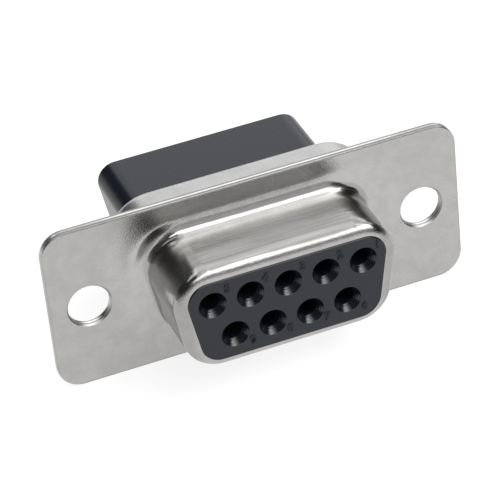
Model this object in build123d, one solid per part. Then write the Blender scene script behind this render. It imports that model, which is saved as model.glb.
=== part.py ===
from build123d import *
from math import cos, radians, sin, tan
import os

# Nine-way socket-to-socket adapter, in millimetres.
# X runs along the flange, Y from the front face to the rear face, and Z up.
# The origin lies between the two mounting holes, on the flange's front face.

# Contact pattern
contact_pitch = 2.77
row_spacing = 2.84
long_row_contacts = 5
short_row_contacts = long_row_contacts - 1

# Sheet metal
sheet = 0.32
side_lean = 10.0
edge_roll = 0.12
mated_edge_break = 0.08

# Front shell's snout, its margins counted from the outermost contact axes
snout_side_margin = 2.61
snout_edge_margin = 2.53
snout_corner_radius = 2.7
snout_projection = 5.94
snout_tip_radius = 0.8
snout_root_radius = 0.85

# Mouth in the snout's tip, its lips counted from the snout's outside
mouth_side_lip = 0.87
mouth_edge_lip = 0.7
mouth_corner_radius = 1.55

# Rear shell's collar, its ledges counted from the snout's outside
collar_side_ledge = 1.49
collar_edge_ledge = 1.41
collar_corner_radius = 3.24
collar_depth = 3.45
collar_edge_radius = 0.9
collar_root_radius = 0.45

# Flange and mounting holes
hole_beyond_snout = 4.345
mounting_hole_radius = 1.55
flange_end_margin = 2.91
flange_edge_margin = 0.99
flange_corner_radius = 1.8

# Moulded insulators
face_stand = 0.06
face_edge_break = 0.05
block_side_margin = 2.245
block_edge_margin = 2.09
block_corner_radius = 1.4
block_projection = 7.2
block_edge_radius = 0.1

# Pin entries in the two mating faces
funnel_rim_radius = 1.02
funnel_depth = 0.55
entry_radius = 0.62
contact_recess = 2.15

# Double-ended contacts
contact_radius = 0.8
contact_bore_radius = 0.52
contact_bore_depth = 4.6
contact_slot_width = 0.24
contact_slot_length = 3.4
shoulder_radius = 1.05
shoulder_length = 1.0

# Clearances
moulding_clearance = 0.05
opening_clearance = 0.04
contact_clearance = 0.05
contact_end_clearance = 0.1

# How far apart two places may lie and still count as one
same_place = 0.001

# Places along Y
front_flange_back = sheet
rear_flange_back = 2 * sheet
snout_tip_y = -snout_projection
front_face_y = snout_tip_y - face_stand
collar_back_y = rear_flange_back + collar_depth
collar_inside_y = collar_back_y - sheet
rear_face_y = collar_back_y + block_projection
parting_y = (front_flange_back + collar_inside_y) / 2
shoulder_back_y = parting_y + shoulder_length

# Places along X and Z
pattern_half_width = (long_row_contacts - 1) * contact_pitch / 2
pattern_half_height = row_spacing / 2
snout_half_width = pattern_half_width + snout_side_margin
snout_half_height = pattern_half_height + snout_edge_margin
collar_half_width = snout_half_width + collar_side_ledge
collar_half_height = snout_half_height + collar_edge_ledge
mounting_hole_x = snout_half_width + hole_beyond_snout
flange_half_width = mounting_hole_x + flange_end_margin
flange_half_height = collar_half_height + flange_edge_margin


def d_outline(half_width, half_height, corner_radius, inset=0.0):
    """D shape, wide side up: the half width is counted over the upper corner arcs."""
    lean = radians(side_lean)
    half_width -= inset
    half_height -= inset
    corner_radius -= inset
    beyond_arc = corner_radius * ((1 + sin(lean)) / cos(lean) - 1)
    top = half_width + beyond_arc
    bottom = top - 2 * half_height * tan(lean)
    right_side = [(bottom, -half_height), (top, half_height)]
    left_side = [(-top, half_height), (-bottom, -half_height)]
    outline = make_face(Polyline(*right_side, *left_side, close=True))
    return fillet(outline.vertices(), corner_radius)


def snout_outline(inset=0.0):
    return d_outline(snout_half_width, snout_half_height, snout_corner_radius, inset)


def mouth_outline(inset=0.0):
    half_width = snout_half_width - mouth_side_lip
    half_height = snout_half_height - mouth_edge_lip
    return d_outline(half_width, half_height, mouth_corner_radius, inset)


def collar_outline(inset=0.0):
    return d_outline(collar_half_width, collar_half_height, collar_corner_radius, inset)


def block_outline(inset=0.0):
    half_width = pattern_half_width + block_side_margin
    half_height = pattern_half_height + block_edge_margin
    return d_outline(half_width, half_height, block_corner_radius, inset)


def prism(outline, front, back):
    """An outline carried along Y, from its front place to its back place."""
    return extrude(Plane.XZ.offset(-back) * outline, amount=back - front)


def edges_at(solid, y):
    """The edges that lie across the Y axis, at one place along it."""
    return solid.edges().filter_by_position(Axis.Y, y - same_place, y + same_place)


def is_hole_rim(edge):
    """A mounting hole's rim is one whole circle, which no edge of the flange's outline is."""
    return edge.is_closed


def root_edges(solid, y, half_width, half_height):
    """The edges at one place along Y where a drawn wall of this size leaves its flange."""
    across = half_width + same_place
    up = half_height + same_place
    edges = edges_at(solid, y).filter_by_position(Axis.X, -across, across)
    return edges.filter_by_position(Axis.Z, -up, up)


def flange_plate(front, back, rolled_y, mated_y):
    """One sheet of the flange, rolled at its outer edge, with its two punched mounting holes."""
    outline = RectangleRounded(2 * flange_half_width, 2 * flange_half_height, flange_corner_radius)
    outline -= Locations((-mounting_hole_x, 0), (mounting_hole_x, 0)) * Circle(mounting_hole_radius)
    plate = chamfer(edges_at(prism(outline, front, back), mated_y), mated_edge_break)
    plate = fillet(edges_at(plate, rolled_y).filter_by(is_hole_rim, reverse=True), edge_roll)
    return chamfer(edges_at(plate, rolled_y).filter_by(is_hole_rim), edge_roll)


def front_shell():
    """Flange sheet drawn forwards into the snout, its tip curled in round the insulator."""
    plate = flange_plate(0, front_flange_back, 0, front_flange_back)
    snout = prism(snout_outline(), snout_tip_y, 0)
    snout = fillet(edges_at(snout, snout_tip_y), snout_tip_radius)
    outside = plate + snout
    root = root_edges(outside, 0, snout_half_width, snout_half_height)
    outside = fillet(root, snout_root_radius)

    hollow = prism(snout_outline(sheet), snout_tip_y + sheet, front_flange_back)
    hollow = fillet(edges_at(hollow, snout_tip_y + sheet), snout_tip_radius - sheet)
    behind = prism(collar_outline(), front_flange_back, collar_back_y)
    hollow += behind
    root = root_edges(hollow, front_flange_back, snout_half_width - sheet, snout_half_height - sheet)
    hollow = fillet(root, snout_root_radius + sheet)
    mouth = prism(mouth_outline(), snout_tip_y, front_flange_back)
    return outside - hollow - mouth


def rear_shell():
    """Flange sheet drawn backwards into the collar, pierced for the rear insulator's block."""
    plate = flange_plate(front_flange_back, rear_flange_back, rear_flange_back, front_flange_back)
    collar = prism(collar_outline(), rear_flange_back, collar_back_y)
    collar = fillet(edges_at(collar, collar_back_y), collar_edge_radius)
    outside = plate + collar
    root = root_edges(outside, rear_flange_back, collar_half_width, collar_half_height)
    outside = fillet(root, collar_root_radius)

    hollow = prism(collar_outline(sheet), front_flange_back, collar_inside_y)
    hollow = fillet(edges_at(hollow, collar_inside_y), collar_edge_radius - sheet)
    mouth = prism(block_outline(-opening_clearance), collar_inside_y, collar_back_y)
    return outside - hollow - mouth


def contact_places():
    """Contact number and place, counted as seen from the front, right to left, top row first."""
    places = {}
    for step in range(long_row_contacts):
        places[step + 1] = (pattern_half_width - step * contact_pitch, pattern_half_height)
    for step in range(short_row_contacts):
        x = pattern_half_width - contact_pitch / 2 - step * contact_pitch
        places[long_row_contacts + step + 1] = (x, -pattern_half_height)
    return places


def turned(points):
    """A solid turned about the Y axis from half of its section."""
    return revolve(make_face(Polyline(*points, close=True)), Axis.Y)


def passage(face_y):
    """Cutter for one contact's way in from a mating face: funnel, pin entry and contact chamber."""
    inward = 1 if face_y < parting_y else -1
    entry_y = face_y + inward * funnel_depth
    chamber_y = face_y + inward * (contact_recess - contact_end_clearance)
    chamber_radius = contact_radius + contact_clearance
    return turned([
        (0, face_y),
        (funnel_rim_radius, face_y),
        (entry_radius, entry_y),
        (entry_radius, chamber_y),
        (chamber_radius, chamber_y),
        (chamber_radius, parting_y),
        (0, parting_y),
    ])


def shoulder_seat():
    """Cutter for the recess at the parting plane that holds one contact's shoulder."""
    return prism(Circle(shoulder_radius + contact_clearance), parting_y, shoulder_back_y)


def cut_at_contacts(body, cutter):
    """A moulding with the same cut at each contact."""
    return body - [Pos(x, 0, z) * cutter for x, z in contact_places().values()]


def front_insulator():
    """Moulding whose nose fills the snout, with the pin entries in its face."""
    seat = prism(collar_outline(sheet + moulding_clearance), front_flange_back, parting_y)
    nose_y = snout_tip_y + sheet + moulding_clearance
    nose = prism(snout_outline(sheet + moulding_clearance), nose_y, front_flange_back)
    nose_chamfer = snout_tip_radius - sheet
    nose = chamfer(edges_at(nose, nose_y), nose_chamfer)
    face = prism(mouth_outline(opening_clearance), front_face_y, nose_y + nose_chamfer)
    face = chamfer(edges_at(face, front_face_y), face_edge_break)
    return cut_at_contacts(seat + nose + face, passage(front_face_y))


def rear_insulator():
    """Moulding whose block stands out behind the collar, with pin entries of its own."""
    seat = prism(collar_outline(sheet + moulding_clearance), parting_y, collar_inside_y)
    seat = chamfer(edges_at(seat, collar_inside_y), collar_edge_radius - sheet)
    block = prism(block_outline(), collar_inside_y, rear_face_y)
    block = fillet(edges_at(block, rear_face_y), block_edge_radius)
    body = cut_at_contacts(seat + block, passage(rear_face_y))
    return cut_at_contacts(body, shoulder_seat())


def contact():
    """Turned contact on the Y axis, a slotted socket at each end of its shoulder."""
    front_y = front_face_y + contact_recess
    rear_y = rear_face_y - contact_recess
    body = turned([
        (0, front_y + contact_bore_depth),
        (contact_bore_radius, front_y + contact_bore_depth),
        (contact_bore_radius, front_y),
        (contact_radius, front_y),
        (contact_radius, parting_y),
        (shoulder_radius, parting_y),
        (shoulder_radius, shoulder_back_y),
        (contact_radius, shoulder_back_y),
        (contact_radius, rear_y),
        (contact_bore_radius, rear_y),
        (contact_bore_radius, rear_y - contact_bore_depth),
        (0, rear_y - contact_bore_depth),
    ])
    slot = Rectangle(2 * shoulder_radius, contact_slot_width)
    front_slot = prism(slot, front_y, front_y + contact_slot_length)
    rear_slot = prism(slot, rear_y - contact_slot_length, rear_y)
    return body - front_slot - rear_slot


nodes = {
    "front_shell": front_shell(),
    "rear_shell": rear_shell(),
    "front_insulator": front_insulator(),
    "rear_insulator": rear_insulator(),
}
one_contact = contact()
for number, (x, z) in contact_places().items():
    nodes[f"contact_{number}"] = Pos(x, 0, z) * one_contact

os.makedirs("parts", exist_ok=True)
for name, solid in nodes.items():
    export_step(solid, f"parts/{name}.step")
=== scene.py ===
from math import cos, pi, radians, sin

import bpy
from mathutils import Matrix, Vector


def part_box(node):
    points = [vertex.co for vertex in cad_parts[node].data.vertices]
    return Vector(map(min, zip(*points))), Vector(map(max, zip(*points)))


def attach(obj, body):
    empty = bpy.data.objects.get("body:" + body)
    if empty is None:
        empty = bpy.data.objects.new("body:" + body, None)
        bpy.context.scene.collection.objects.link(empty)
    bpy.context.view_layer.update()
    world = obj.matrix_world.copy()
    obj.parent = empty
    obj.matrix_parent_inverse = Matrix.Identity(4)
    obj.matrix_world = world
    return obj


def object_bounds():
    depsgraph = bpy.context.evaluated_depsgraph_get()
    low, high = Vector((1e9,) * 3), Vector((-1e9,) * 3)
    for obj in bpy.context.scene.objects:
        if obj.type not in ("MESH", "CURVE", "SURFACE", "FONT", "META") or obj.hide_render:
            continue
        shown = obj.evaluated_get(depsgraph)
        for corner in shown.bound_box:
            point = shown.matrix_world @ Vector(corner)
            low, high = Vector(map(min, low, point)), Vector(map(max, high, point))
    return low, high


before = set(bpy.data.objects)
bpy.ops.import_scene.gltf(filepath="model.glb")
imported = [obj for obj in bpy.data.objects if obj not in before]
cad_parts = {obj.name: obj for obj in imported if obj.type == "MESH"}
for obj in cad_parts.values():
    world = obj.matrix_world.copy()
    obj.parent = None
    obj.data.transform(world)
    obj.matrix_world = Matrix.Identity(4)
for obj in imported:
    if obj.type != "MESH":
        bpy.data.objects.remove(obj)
cad_low, cad_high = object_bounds()

# Lengths are in metres, or in millimetres where a name ends in MM, and the camera's angles in degrees.
# A pair of places is where a change starts and where it ends, and a pair of levels, shares, gains or
# sheens is what holds at those two places.
MM = 0.001

# The camera, fitted to the standard spacings of the holes and contacts
AIM_MM = (-0.546, 0.0, 0.667)
CAMERA_DISTANCE_MM = 198.92
CAMERA_AZIMUTH = -17.927
CAMERA_ELEVATION = 34.357
CAMERA_ROLL = -6.217
CAMERA_CLIP = (0.005, 20.0)
LENS_MM = 205.48
SENSOR_MM = 36.0

# The standard contact pattern, and where each number stands beside its contact
CONTACT_PITCH_MM = 2.77
ROW_SPACING_MM = 2.84
LONG_ROW_CONTACTS = 5
SHORT_ROW_CONTACTS = 4
UPPER_NUMBER_OFFSET_MM = (1.14, 1.03)
LOWER_NUMBER_OFFSET_MM = (1.22, -0.86)
NUMBER_HEIGHT_MM = 0.70
NUMBER_RELIEF_MM = 0.06
NUMBER_BEVEL_MM = 0.03
NUMBER_BOLDNESS_MM = 0.030

# The two drawn D shapes: half width, half height and corner radius
SNOUT_MM = (8.15, 3.95, 2.7)
COLLAR_MM = (9.64, 5.36, 3.24)
SIDE_SLANT = radians(10)
SNOUT_TIP_Y_MM = -5.94

# The flange, its two holes, and how far in from a cut edge the metal is darker and rougher
FLANGE_HALF_MM = (15.405, 6.35)
HOLE_X_MM = 12.495
HOLE_RADIUS_MM = 1.55
CUT_EDGE_MM = (0.16, 0.06)
END_AND_HOLE_SHARE = 0.3

# What the drawing left: the swell round the snout and its lead into the root, the walls' taper from the
# middle of their length to its ends, and the top wall's fall into the tip
SWELL_REACH_MM = 1.9
SWELL_POWER = 5.0
SWELL_RISE = 0.0465
ROOT_RADIUS_MM = 0.85
LEAD_END_MM = 0.6
LEAD_FALL = 1.3
LEAD_TIGHTENING = 0.48
LIP_FALL = 0.2
TAPER_X_MM = (0.5, 5.5)
WALL_TAPER = (0.044, 0.019)
CROWN_BEHIND_TIP_MM = (1.55, 0.25)
CROWN_X_MM = (7.0, 5.2)
CROWN_FALL_MM = 0.15

# Where the nickel's finish and its painted shade change: by the distance outside the D shape, behind the
# snout's tip, inwards from the D shape's side, and up
WALL_OUTSIDE_MM = (0.3, 0.1)
RING_OUTER_MM = (3.6, 1.2)
RING_INNER_MM = (0.1, 0.3)
PEEL_OUTSIDE_MM = (0.5, 1.2)
PEEL_SHARES = (0.3, 1.0)
TIP_MM = (0.9, 0.6)
TIP_PEEL_MM = (0.5, 0.2)
TIP_ROUNDING_MM = (0.05, 0.25)
TIP_TOP_Z_MM = (2.4, 3.0)
FLANK_FROM_SIDE_MM = (2.0, 0.8)

# Nickel plate, smoother where the drawing polished it, and coloured darker on the wall's flanks and on the
# tip's rounded top edge, a painted shade
FRONT_NICKEL_COLOUR = (0.452, 0.446, 0.436)
REAR_NICKEL_COLOUR = (0.550, 0.548, 0.545)
NICKEL_ROUGHNESS = (0.26, 0.36)
WALL_POLISH = 0.15
RING_POLISH = 0.19
TIP_POLISH = 0.18
TIP_PEEL = 1.6
# Painted shade: how much darker the tip's rounded top edge and the wall's flanks are coloured
TIP_PAINTED_SHADE = 0.30
FLANK_PAINTED_SHADE = 0.22
CUT_EDGE_LOSS = 0.35
CUT_EDGE_ROUGHENING = 0.22
WEAR_SHARES = (0.6, 0.4)
WEAR_SPAN = (0.38, 0.62)
WEAR_SHADES = (0.92, 1.02)
STREAK_DEPTH_MM = 0.010
PEEL_DEPTH_MM = 0.014
GRAIN_DEPTH_MM = 0.001

# Noises: scale, detail and roughness, and how some are stretched along X, Y and Z
GRAIN_NOISE = (9.0, 3.0, 0.65)
PATCH_NOISE = (0.8, 3.0, 0.6)
STREAK_NOISE = (1.3, 3.0, 0.6)
STREAK_STRETCH = (0.25, 3.0, 0.25)
CLOUD_NOISE = (1.0, 2.0, 0.5)
CLOUD_STRETCH = (0.3, 0.8, 0.3)
SATIN_NOISE = (9.0, 3.0, 0.6)
TURNING_NOISE = (3.0, 2.0, 0.5)
TURNING_STRETCH = (0.1, 6.0, 0.1)
NOISE_SPAN = (0.3, 0.7)

# Black plastic, with turned rings in its funnels, and the block's flanks made duller, a painted shade
FACE_PLASTIC_COLOUR = (0.0065, 0.0088, 0.0150)
BLOCK_PLASTIC_COLOUR = (0.006, 0.008, 0.015)
SATIN_LIFT = 1.2
FACE_ROUGHNESS = (0.36, 0.44)
BLOCK_ROUGHNESS = (0.42, 0.50)
NUMBER_ROUGHNESS = (0.60, 0.70)
PLASTIC_IOR = 1.5
FLANK_X_MM = (6.6, 7.5)
# The block's flanks reflect less, a painted shade
BLOCK_PAINTED_SHADE_SHEENS = (0.43, 0.15)
FUNNEL_BEHIND_FACE_MM = (0.01, 0.04)
FUNNEL_POLISH = 0.22
RING_PITCH_MM = 0.15
RING_DEPTH_MM = 0.0012
SATIN_DEPTH_MM = 0.003
SATIN_STRENGTH = 0.5

# Gold flash
GOLD_COLOUR = (0.72, 0.52, 0.22)
GOLD_ROUGHNESS = (0.22, 0.34)
TURNING_DEPTH_MM = 0.008
TURNING_STRENGTH = 0.4

# The floor and the softbox
FLOOR_SIDE = 4.0
FLOOR_COLOUR = (0.26, 0.26, 0.26)
FLOOR_GLOW = 0.84
KEY_PLACE_MM = (205, -100, 330)
KEY_SIZE_MM = (200, 95)
KEY_RADIANCE = 2.8

# The world's soft panels: their edges by the parts of a direction across, back and up, and their levels
SIDES_UP = (0.02, 0.35)
SIDE_LEVELS = (0.35, 0.08)
SHEET_BACK = (0.15, 0.45)
SHEET_FOOT_UP = (0.02, 0.25)
SHEET_STEP_UP = (0.565, 0.635)
SHEET_LEVELS = (1.14, 0.62)
SHEET_TOP_UP = (0.66, 0.88)
SHEET_TOP_GAINS = (1.0, 2.1)
SHEET_ACROSS = (-0.19, -0.10)
APRON_UP = (0.02, 0.30)
APRON_LEVELS = (0.15, 0.58)
HEM_UP = (0.53, 0.60)
HEM_LEVEL = 0.44
APRON_ACROSS = (-0.14, -0.02)
PANEL_FOOT_UP = (0.63, 0.69)
PANEL_FADE_UP = (0.88, 0.965)
PANEL_LEVELS = (3.6, 1.35)
PANEL_SLANT_BACK = (-0.62, -0.45)
PANEL_SLANT_ACROSS = (-0.42, 0.05)
PANEL_EDGE = (-0.04, 0.05)
OVERHEAD_BACK = (0.4, 0.1)
RIGHT_END_ACROSS = (0.85, 0.68)
FILL_ACROSS = (0.0, -0.15)
FILL_BACK = (0.0, 0.15)
FILL_UP = (0.68, 0.8)
FILL_LEVEL = 1.2
DIM_ACROSS = (0.36, 0.50)
DIM_BACK = (0.2, -0.2)
DIM_UP = (0.5, 0.35)
DIM_LOSS = 0.85


def with_alpha(colour):
    """A linear colour with its full alpha."""
    return (*colour, 1.0)


class Nodes:
    """Short calls for building one node tree."""

    def __init__(self, tree):
        self.tree = tree
        self.tree.nodes.clear()

    def add(self, kind, values=None, **settings):
        node = self.tree.nodes.new(kind)
        for key, value in settings.items():
            setattr(node, key, value)
        for key, value in (values or {}).items():
            if isinstance(value, bpy.types.NodeSocket):
                self.tree.links.new(value, node.inputs[key])
            else:
                node.inputs[key].default_value = value
        return node

    def math(self, operation, first, second=0.0, clamp=False):
        return self.add("ShaderNodeMath", {0: first, 1: second}, operation=operation,
                        use_clamp=clamp).outputs[0]

    def joined(self, operation, values):
        """The values joined one after another by the same operation."""
        result = values[0]
        for value in values[1:]:
            result = self.math(operation, result, value)
        return result

    def plus(self, *values):
        return self.joined("ADD", values)

    def minus(self, *values):
        return self.joined("SUBTRACT", values)

    def times(self, *values):
        return self.joined("MULTIPLY", values)

    def power(self, value, exponent):
        return self.math("POWER", value, exponent)

    def absolute(self, value):
        return self.math("ABSOLUTE", value)

    def larger(self, first, second=0.0):
        return self.math("MAXIMUM", first, second)

    def smaller(self, first, second=0.0):
        return self.math("MINIMUM", first, second)

    def ramp(self, value, low, high, start=0.0, end=1.0):
        """A smooth step of the value from low to high, mapped to start and end."""
        node = self.add("ShaderNodeMapRange",
                        {"Value": value, "From Min": low, "From Max": high, "To Min": start, "To Max": end},
                        interpolation_type="SMOOTHSTEP")
        return node.outputs["Result"]

    def mix(self, factor, first, second):
        """A colour between the first and the second."""
        node = self.add("ShaderNodeMix", {0: factor, 6: first, 7: second}, data_type="RGBA")
        return node.outputs[2]

    def noise(self, vector, scale, detail, roughness):
        node = self.add("ShaderNodeTexNoise", {"Vector": vector, "Scale": scale, "Detail": detail,
                                               "Roughness": roughness})
        return node.outputs["Fac"]

    def stretched(self, vector, scales):
        node = self.add("ShaderNodeVectorMath", {0: vector, 1: scales}, operation="MULTIPLY")
        return node.outputs["Vector"]

    def bump(self, height, depth_mm, normal=None, strength=1.0):
        """The normal over a relief, a height times a depth, on top of an earlier normal if one is given."""
        values = {"Height": height, "Distance": depth_mm * MM, "Strength": strength}
        if normal is not None:
            values["Normal"] = normal
        return self.add("ShaderNodeBump", values).outputs["Normal"]

    def surface(self, values):
        """The material's surface, one principled shader with these values."""
        shader = self.add("ShaderNodeBsdfPrincipled", values)
        self.add("ShaderNodeOutputMaterial", {"Surface": shader.outputs["BSDF"]})


def new_material(name):
    material = bpy.data.materials.new(name)
    material.use_nodes = True
    return material, Nodes(material.node_tree)


def place_in_mm(nodes):
    """The point on the object, in millimetres, and its three parts."""
    coordinate = nodes.add("ShaderNodeTexCoord").outputs["Object"]
    point = nodes.stretched(coordinate, (1 / MM, 1 / MM, 1 / MM))
    parts = nodes.add("ShaderNodeSeparateXYZ", {0: point}).outputs
    return point, parts["X"], parts["Y"], parts["Z"]


def distance_outside(nodes, x, z, shape_mm):
    """How far a point lies outside a D shape, in millimetres."""
    half_width, half_height, corner = shape_mm
    sideways = nodes.times(nodes.absolute(x), cos(SIDE_SLANT))
    leaning = nodes.times(z, -sin(SIDE_SLANT))
    centre_beside = (half_width - corner) * cos(SIDE_SLANT) - (half_height - corner) * sin(SIDE_SLANT)
    beside = nodes.minus(nodes.plus(sideways, leaning), centre_beside)
    above = nodes.minus(nodes.absolute(z), half_height - corner)
    squares = nodes.plus(nodes.power(nodes.larger(beside), 2.0), nodes.power(nodes.larger(above), 2.0))
    return nodes.minus(nodes.math("SQRT", squares), corner)


def behind_tip(distances_mm):
    """The places along Y, in millimetres, that lie at these distances behind the snout's tip."""
    return [SNOUT_TIP_Y_MM + distance for distance in distances_mm]


def drawn_relief(nodes, outside, x, y):
    """Height, in millimetres, of what the drawing left: a swell that ends in a short lead into the root's
    radius, a flattened lip, walls that taper a little towards the tip, and a soft fall into the tip."""
    beyond = nodes.larger(outside, LEAD_END_MM)
    reach = nodes.larger(nodes.minus(SWELL_REACH_MM, beyond))
    swell = nodes.times(nodes.power(reach, SWELL_POWER), SWELL_RISE)
    inside = nodes.larger(nodes.minus(ROOT_RADIUS_MM, beyond))
    within = nodes.larger(nodes.minus(LEAD_END_MM, nodes.larger(outside)))
    lead = nodes.plus(nodes.times(nodes.power(inside, 2.0), LEAD_FALL),
                      nodes.times(nodes.power(within, 2.0), LEAD_TIGHTENING))
    lip = nodes.times(nodes.smaller(outside), LIP_FALL)
    beside = nodes.absolute(x)
    taper = nodes.times(nodes.smaller(y), nodes.ramp(beside, *TAPER_X_MM, *WALL_TAPER))
    crown = nodes.times(nodes.ramp(y, *behind_tip(CROWN_BEHIND_TIP_MM), 0.0, CROWN_FALL_MM),
                        nodes.ramp(beside, *CROWN_X_MM))
    return nodes.plus(nodes.minus(swell, lead), nodes.plus(lip, nodes.minus(taper, crown)))


def near_cut_edge(nodes, x, z):
    """How near a point is to the flange's rolled top and bottom edges, and in part to its ends and holes."""
    far, near = CUT_EDGE_MM
    half_width, half_height = FLANGE_HALF_MM
    beside = nodes.absolute(x)
    at_end = nodes.ramp(beside, half_width - far, half_width - near)
    at_side = nodes.ramp(nodes.absolute(z), half_height - far, half_height - near)
    squares = nodes.plus(nodes.power(nodes.minus(beside, HOLE_X_MM), 2.0), nodes.power(z, 2.0))
    at_hole = nodes.ramp(nodes.math("SQRT", squares), HOLE_RADIUS_MM + far, HOLE_RADIUS_MM + near)
    return nodes.larger(at_side, nodes.times(nodes.larger(at_end, at_hole), END_AND_HOLE_SHARE))


def worn(nodes, first, second):
    """Wear made of two noises."""
    return nodes.plus(nodes.times(first, WEAR_SHARES[0]), nodes.times(second, WEAR_SHARES[1]))


def nickel(name, colour, shape_mm, drawing_shows):
    """Satin nickel plate, smoother in a ring about its wall, darker and rougher at the flange's cut edges,
    and with painted shade on the wall's flanks. Where the drawing shows, the wall is polished and streaked,
    the ring and the tip are peeled, and the tip's rounded top edge is coloured darker, a painted shade."""
    material, nodes = new_material(name)
    point, x, y, z = place_in_mm(nodes)
    outside = distance_outside(nodes, x, z, shape_mm)
    on_wall = nodes.ramp(outside, *WALL_OUTSIDE_MM)
    ring = nodes.times(nodes.ramp(outside, *RING_OUTER_MM), nodes.ramp(outside, *RING_INNER_MM))
    cut = near_cut_edge(nodes, x, z)
    flank_x_mm = [shape_mm[0] - inwards for inwards in FLANK_FROM_SIDE_MM]
    flank = nodes.times(on_wall, nodes.ramp(nodes.absolute(x), *flank_x_mm))
    grain = nodes.noise(point, *GRAIN_NOISE)
    streaks = nodes.noise(nodes.stretched(point, STREAK_STRETCH), *STREAK_NOISE)
    wear = worn(nodes, nodes.noise(point, *PATCH_NOISE), grain)
    # Painted shade darkens the wall's flanks; the flange's cut edges are darker too
    gain = nodes.minus(1.0, nodes.times(flank, FLANK_PAINTED_SHADE), nodes.times(cut, CUT_EDGE_LOSS))
    satin = nodes.ramp(grain, *NOISE_SPAN, *NICKEL_ROUGHNESS)
    roughness = nodes.minus(satin, nodes.times(ring, RING_POLISH))
    if drawing_shows:
        at_tip = nodes.ramp(y, *behind_tip(TIP_MM))
        polished = nodes.math("SUBTRACT", on_wall, at_tip, clamp=True)
        clouds = nodes.noise(nodes.stretched(point, CLOUD_STRETCH), *CLOUD_NOISE)
        wear = nodes.plus(nodes.times(worn(nodes, clouds, streaks), polished),
                          nodes.times(wear, nodes.minus(1.0, polished)))
        # Painted shade: the tip's rounded top edge is coloured darker, a dark band between its highlight and
        # rim
        painted_tip_shade = nodes.times(at_tip, nodes.ramp(y, *behind_tip(TIP_ROUNDING_MM)),
                               nodes.ramp(z, *TIP_TOP_Z_MM))
        gain = nodes.minus(gain, nodes.times(painted_tip_shade, TIP_PAINTED_SHADE))
        roughness = nodes.minus(roughness, nodes.times(polished, WALL_POLISH))
        roughness = nodes.minus(roughness, nodes.times(at_tip, TIP_POLISH))
        ring_peel = nodes.times(ring, nodes.ramp(outside, *PEEL_OUTSIDE_MM, *PEEL_SHARES))
        peeled = nodes.larger(ring_peel, nodes.ramp(y, *behind_tip(TIP_PEEL_MM), 0.0, TIP_PEEL))
        normal = nodes.bump(drawn_relief(nodes, outside, x, y), depth_mm=1.0)
        normal = nodes.bump(nodes.times(streaks, polished), STREAK_DEPTH_MM, normal)
        normal = nodes.bump(nodes.times(grain, peeled), PEEL_DEPTH_MM, normal)
    else:
        normal = nodes.bump(streaks, STREAK_DEPTH_MM)
    shade = nodes.times(gain, nodes.ramp(wear, *WEAR_SPAN, *WEAR_SHADES))
    tone = nodes.add("ShaderNodeVectorMath", {0: colour, "Scale": shade}, operation="SCALE")
    nodes.surface({
        "Base Color": tone.outputs["Vector"],
        "Metallic": 1.0,
        "Roughness": nodes.plus(roughness, nodes.times(cut, CUT_EDGE_ROUGHENING)),
        "Normal": nodes.bump(grain, GRAIN_DEPTH_MM, normal),
    })
    return material


def moulded(name, colour, roughness, face_y, painted_shade_sheens=None):
    """Black moulded plastic: a fine satin, funnels made smooth by their turned pins, and, where two sheens
    are given, flanks of another sheen, a painted shade."""
    material, nodes = new_material(name)
    point, x, y = place_in_mm(nodes)[:3]
    behind_face = nodes.minus(abs(face_y / MM), nodes.absolute(y))
    in_funnel = nodes.ramp(behind_face, *FUNNEL_BEHIND_FACE_MM)
    satin = nodes.noise(point, *SATIN_NOISE)
    lighter = [SATIN_LIFT * part for part in colour]
    rings = nodes.math("SINE", nodes.times(y, 2 * pi / RING_PITCH_MM))
    values = {
        "Base Color": nodes.mix(nodes.ramp(satin, *NOISE_SPAN), with_alpha(colour), with_alpha(lighter)),
        "Roughness": nodes.minus(nodes.ramp(satin, *NOISE_SPAN, *roughness),
                                 nodes.times(in_funnel, FUNNEL_POLISH)),
        "IOR": PLASTIC_IOR,
        "Normal": nodes.bump(satin, SATIN_DEPTH_MM, nodes.bump(rings, RING_DEPTH_MM), SATIN_STRENGTH),
    }
    # Flanks given less sheen, a painted shade
    if painted_shade_sheens:
        values["Specular IOR Level"] = nodes.ramp(nodes.absolute(x), *FLANK_X_MM, *painted_shade_sheens)
    nodes.surface(values)
    return material


def gold(name):
    """Gold flash over the turned contact, with faint turning rings."""
    material, nodes = new_material(name)
    point = place_in_mm(nodes)[0]
    rings = nodes.noise(nodes.stretched(point, TURNING_STRETCH), *TURNING_NOISE)
    nodes.surface({
        "Base Color": with_alpha(GOLD_COLOUR),
        "Metallic": 1.0,
        "Roughness": nodes.ramp(rings, *NOISE_SPAN, *GOLD_ROUGHNESS),
        "Normal": nodes.bump(rings, TURNING_DEPTH_MM, strength=TURNING_STRENGTH),
    })
    return material


def clothe(node_name, material):
    """Give a CAD node its material."""
    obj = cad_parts[node_name]
    obj.data.materials.clear()
    obj.data.materials.append(material)


def contact_places_mm():
    """Contact number and its place across the face, right to left, the long row first."""
    half_width = (LONG_ROW_CONTACTS - 1) * CONTACT_PITCH_MM / 2
    places = {}
    for step in range(LONG_ROW_CONTACTS):
        places[step + 1] = (half_width - step * CONTACT_PITCH_MM, ROW_SPACING_MM / 2)
    for step in range(SHORT_ROW_CONTACTS):
        x = half_width - CONTACT_PITCH_MM / 2 - step * CONTACT_PITCH_MM
        places[LONG_ROW_CONTACTS + step + 1] = (x, -ROW_SPACING_MM / 2)
    return places


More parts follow.
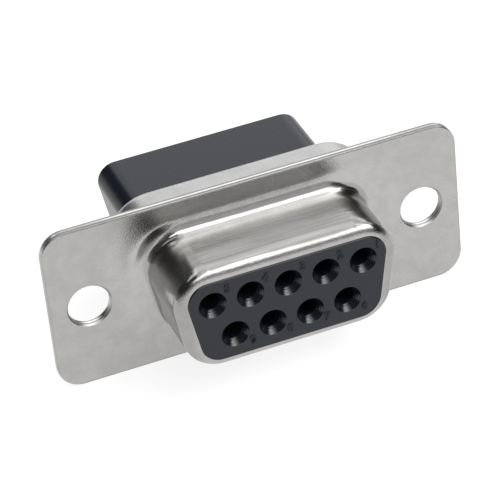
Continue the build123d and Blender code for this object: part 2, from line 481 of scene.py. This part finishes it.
def raised_number(number, x_mm, z_mm, face_y, material):
    """One moulded number, standing a little proud of the front face."""
    curve = bpy.data.curves.new(f"number_{number}", "FONT")
    curve.body = str(number)
    curve.extrude = NUMBER_RELIEF_MM - NUMBER_BEVEL_MM
    curve.bevel_depth = NUMBER_BEVEL_MM
    curve.offset = NUMBER_BOLDNESS_MM
    source = bpy.data.objects.new(f"outline_{number}", curve)
    bpy.context.scene.collection.objects.link(source)
    bpy.context.view_layer.update()
    mesh = bpy.data.meshes.new_from_object(source)
    bpy.data.objects.remove(source)
    left = min(v.co.x for v in mesh.vertices)
    right = max(v.co.x for v in mesh.vertices)
    bottom = min(v.co.y for v in mesh.vertices)
    top = max(v.co.y for v in mesh.vertices)
    size = NUMBER_HEIGHT_MM / (top - bottom)
    for v in mesh.vertices:
        across = x_mm + (v.co.x - (right + left) / 2) * size
        up = z_mm + (v.co.y - (top + bottom) / 2) * size
        v.co = (across * MM, face_y - v.co.z * MM, up * MM)
    mesh.materials.append(material)
    piece = bpy.data.objects.new(f"number_{number}", mesh)
    bpy.context.scene.collection.objects.link(piece)
    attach(piece, "root")


def make_camera():
    """The photo's camera, from its direction, distance and roll about the point that it looks at."""
    azimuth = radians(CAMERA_AZIMUTH)
    elevation = radians(CAMERA_ELEVATION)
    roll = radians(CAMERA_ROLL)
    back = Vector((sin(azimuth) * cos(elevation), -cos(azimuth) * cos(elevation), sin(elevation)))
    level_right = Vector((cos(azimuth), sin(azimuth), 0.0))
    level_up = back.cross(level_right)
    right = cos(roll) * level_right + sin(roll) * level_up
    up = back.cross(right)
    data = bpy.data.cameras.new("camera")
    data.lens = LENS_MM
    data.sensor_width = SENSOR_MM
    data.clip_start, data.clip_end = CAMERA_CLIP
    camera = bpy.data.objects.new("camera", data)
    bpy.context.scene.collection.objects.link(camera)
    place = (Vector(AIM_MM) + CAMERA_DISTANCE_MM * back) * MM
    turn = Matrix((right, up, back)).transposed().to_4x4()
    camera.matrix_world = Matrix.Translation(place) @ turn
    bpy.context.scene.camera = camera


def make_floor():
    """White floor under the flange: seen as white, and darker only in the object's shadow."""
    half = FLOOR_SIDE / 2
    height = cad_low.z
    mesh = bpy.data.meshes.new("floor")
    corners = [(-half, -half, height), (half, -half, height), (half, half, height), (-half, half, height)]
    mesh.from_pydata(corners, [], [(0, 1, 2, 3)])
    material, nodes = new_material("floor")
    diffuse = nodes.add("ShaderNodeBsdfDiffuse", {"Color": with_alpha(FLOOR_COLOUR)})
    path = nodes.add("ShaderNodeLightPath").outputs
    seen = nodes.math("ADD", path["Is Camera Ray"], path["Is Glossy Ray"], clamp=True)
    seen = nodes.math("ADD", seen, path["Is Transmission Ray"], clamp=True)
    glow = nodes.add("ShaderNodeEmission", {"Color": with_alpha((1, 1, 1)),
                                            "Strength": nodes.times(seen, FLOOR_GLOW)})
    both = nodes.add("ShaderNodeAddShader", {0: diffuse.outputs[0], 1: glow.outputs[0]})
    nodes.add("ShaderNodeOutputMaterial", {"Surface": both.outputs[0]})
    mesh.materials.append(material)
    floor = bpy.data.objects.new("floor", mesh)
    bpy.context.scene.collection.objects.link(floor)


def make_world():
    """The studio above the floor: dark sides, a pale sheet behind, an apron and a bright panel over it in
    front, a fill at the back's left, and a dim corner low at the front's right."""
    world = bpy.data.worlds.new("studio")
    bpy.context.scene.world = world
    world.use_nodes = True
    nodes = Nodes(world.node_tree)
    direction = nodes.add("ShaderNodeTexCoord").outputs["Generated"]
    parts = nodes.add("ShaderNodeSeparateXYZ", {0: direction}).outputs
    across, back, up = parts["X"], parts["Y"], parts["Z"]
    sides = nodes.ramp(up, *SIDES_UP, *SIDE_LEVELS)
    sheet = nodes.times(nodes.ramp(back, *SHEET_BACK), nodes.ramp(up, *SHEET_FOOT_UP),
                        nodes.ramp(up, *SHEET_STEP_UP, *SHEET_LEVELS),
                        nodes.ramp(up, *SHEET_TOP_UP, *SHEET_TOP_GAINS), nodes.ramp(across, *SHEET_ACROSS))
    apron = nodes.plus(nodes.ramp(up, *APRON_UP, *APRON_LEVELS), nodes.ramp(up, *HEM_UP, 0.0, HEM_LEVEL))
    apron = nodes.times(nodes.ramp(across, *APRON_ACROSS), apron)
    beyond_edge = nodes.minus(across, nodes.ramp(back, *PANEL_SLANT_BACK, *PANEL_SLANT_ACROSS))
    panel = nodes.times(nodes.ramp(up, *PANEL_FOOT_UP), nodes.ramp(up, *PANEL_FADE_UP, *PANEL_LEVELS),
                        nodes.ramp(beyond_edge, *PANEL_EDGE))
    overhead = nodes.times(nodes.larger(panel, apron), nodes.ramp(back, *OVERHEAD_BACK))
    middle = nodes.times(nodes.plus(sheet, overhead), nodes.ramp(across, *RIGHT_END_ACROSS))
    fill = nodes.times(nodes.ramp(across, *FILL_ACROSS), nodes.ramp(back, *FILL_BACK),
                       nodes.ramp(up, *FILL_UP, 0.0, FILL_LEVEL))
    dim = nodes.times(nodes.ramp(across, *DIM_ACROSS, 0.0, DIM_LOSS), nodes.ramp(back, *DIM_BACK),
                      nodes.ramp(up, *DIM_UP))
    strength = nodes.times(nodes.plus(sides, middle, fill), nodes.minus(1.0, dim))
    tent = nodes.add("ShaderNodeBackground", {"Color": with_alpha((1, 1, 1)), "Strength": strength})
    nodes.add("ShaderNodeOutputWorld", {"Surface": tent.outputs[0]})


def add_softbox(name, place_mm, size_mm, radiance):
    """A lamp that faces the origin, its width level along X, of this brightness per unit of its face."""
    data = bpy.data.lights.new(name, "AREA")
    data.shape = "RECTANGLE"
    data.size = size_mm[0] * MM
    data.size_y = size_mm[1] * MM
    data.energy = radiance * pi * data.size * data.size_y
    lamp = bpy.data.objects.new(name, data)
    bpy.context.scene.collection.objects.link(lamp)
    place = Vector(place_mm) * MM
    back = place.normalized()
    right = (Vector((1, 0, 0)) - back.x * back).normalized()
    turn = Matrix((right, back.cross(right), back)).transposed().to_4x4()
    lamp.matrix_world = Matrix.Translation(place) @ turn


front_face_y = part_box("front_insulator")[0].y
rear_face_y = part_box("rear_insulator")[1].y
clothe("front_shell", nickel("front_nickel", FRONT_NICKEL_COLOUR, SNOUT_MM, True))
clothe("rear_shell", nickel("rear_nickel", REAR_NICKEL_COLOUR, COLLAR_MM, False))
clothe("front_insulator", moulded("face_plastic", FACE_PLASTIC_COLOUR, FACE_ROUGHNESS, front_face_y))
clothe("rear_insulator", moulded("block_plastic", BLOCK_PLASTIC_COLOUR, BLOCK_ROUGHNESS, rear_face_y,
                                 BLOCK_PAINTED_SHADE_SHEENS))
number_plastic = moulded("number_plastic", FACE_PLASTIC_COLOUR, NUMBER_ROUGHNESS, front_face_y)
contact_metal = gold("contact_gold")
for number, (x_mm, z_mm) in contact_places_mm().items():
    clothe(f"contact_{number}", contact_metal)
    offset = UPPER_NUMBER_OFFSET_MM if number <= LONG_ROW_CONTACTS else LOWER_NUMBER_OFFSET_MM
    raised_number(number, x_mm + offset[0], z_mm + offset[1], front_face_y, number_plastic)

make_camera()
make_floor()
make_world()
add_softbox("key", KEY_PLACE_MM, KEY_SIZE_MM, KEY_RADIANCE)
bpy.context.scene.view_settings.view_transform = "Standard"
